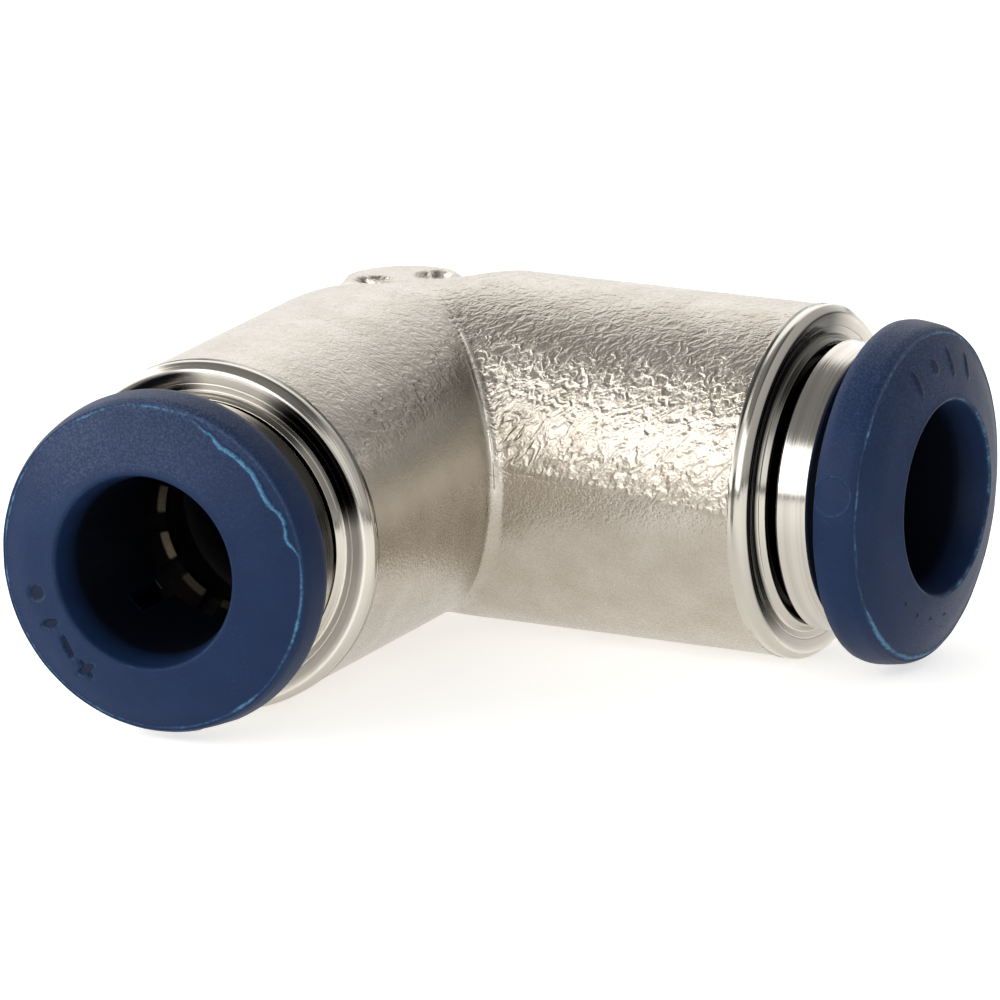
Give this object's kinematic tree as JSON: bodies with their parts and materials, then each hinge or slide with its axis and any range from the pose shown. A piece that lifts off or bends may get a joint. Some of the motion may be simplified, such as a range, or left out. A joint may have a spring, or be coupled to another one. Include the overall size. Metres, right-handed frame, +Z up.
{
  "type": "push to connect fitting",
  "caption": "Right-angle push-to-connect air fitting with a rough nickel body and a sliding release collet in each tube port.",
  "frame": {"origin": "middle of the flat pad under the elbow, right below the point where the two port axes cross", "axes": "+Z up, away from the foot pad; +X out of port A along its axis; -Y out of port B along its axis"},
  "size_m": [0.0277, 0.0281, 0.0128],
  "materials": {
    "rough_nickel": "nickel plated over a rough hot-forged skin",
    "turned_nickel": "turned and nickel plated, bright with fine turning lines",
    "spring_steel": "bright stamped stainless strip",
    "navy_plastic": "navy moulded acetal with a soft sheen",
    "black_seal": "black nitrile, satin",
    "black_acetal": "black acetal, smooth from the mould"
  },
  "bodies": {
    "body": {"elbow_body": "rough_nickel", "guide_ring_a": "turned_nickel", "guide_ring_b": "turned_nickel", "backup_ring_a": "black_acetal", "backup_ring_b": "black_acetal", "o_ring_a": "black_seal", "o_ring_b": "black_seal"},
    "grab_a": {"grab_ring_a": "spring_steel"},
    "grab_b": {"grab_ring_b": "spring_steel"},
    "collet_a": {"release_collet_a": "navy_plastic"},
    "collet_b": {"release_collet_b": "navy_plastic"}
  },
  "joints": [
    {"name": "grab_turn_a", "type": "hinge", "parent": "body", "child": "grab_a", "pos_m": [0.014, 0, 0.00583], "axis": [1, 0, 0], "continuous": true},
    {"name": "grab_turn_b", "type": "hinge", "parent": "body", "child": "grab_b", "pos_m": [0, -0.014, 0.00583], "axis": [0, -1, 0], "continuous": true},
    {"name": "collet_push_a", "type": "slide", "parent": "grab_a", "child": "collet_a", "axis": [-1, 0, 0], "range_m": [-0.00056, 0.00054]},
    {"name": "collet_push_b", "type": "slide", "parent": "grab_b", "child": "collet_b", "axis": [0, 1, 0], "range_m": [-0.00018, 0.00092]}
  ]
}
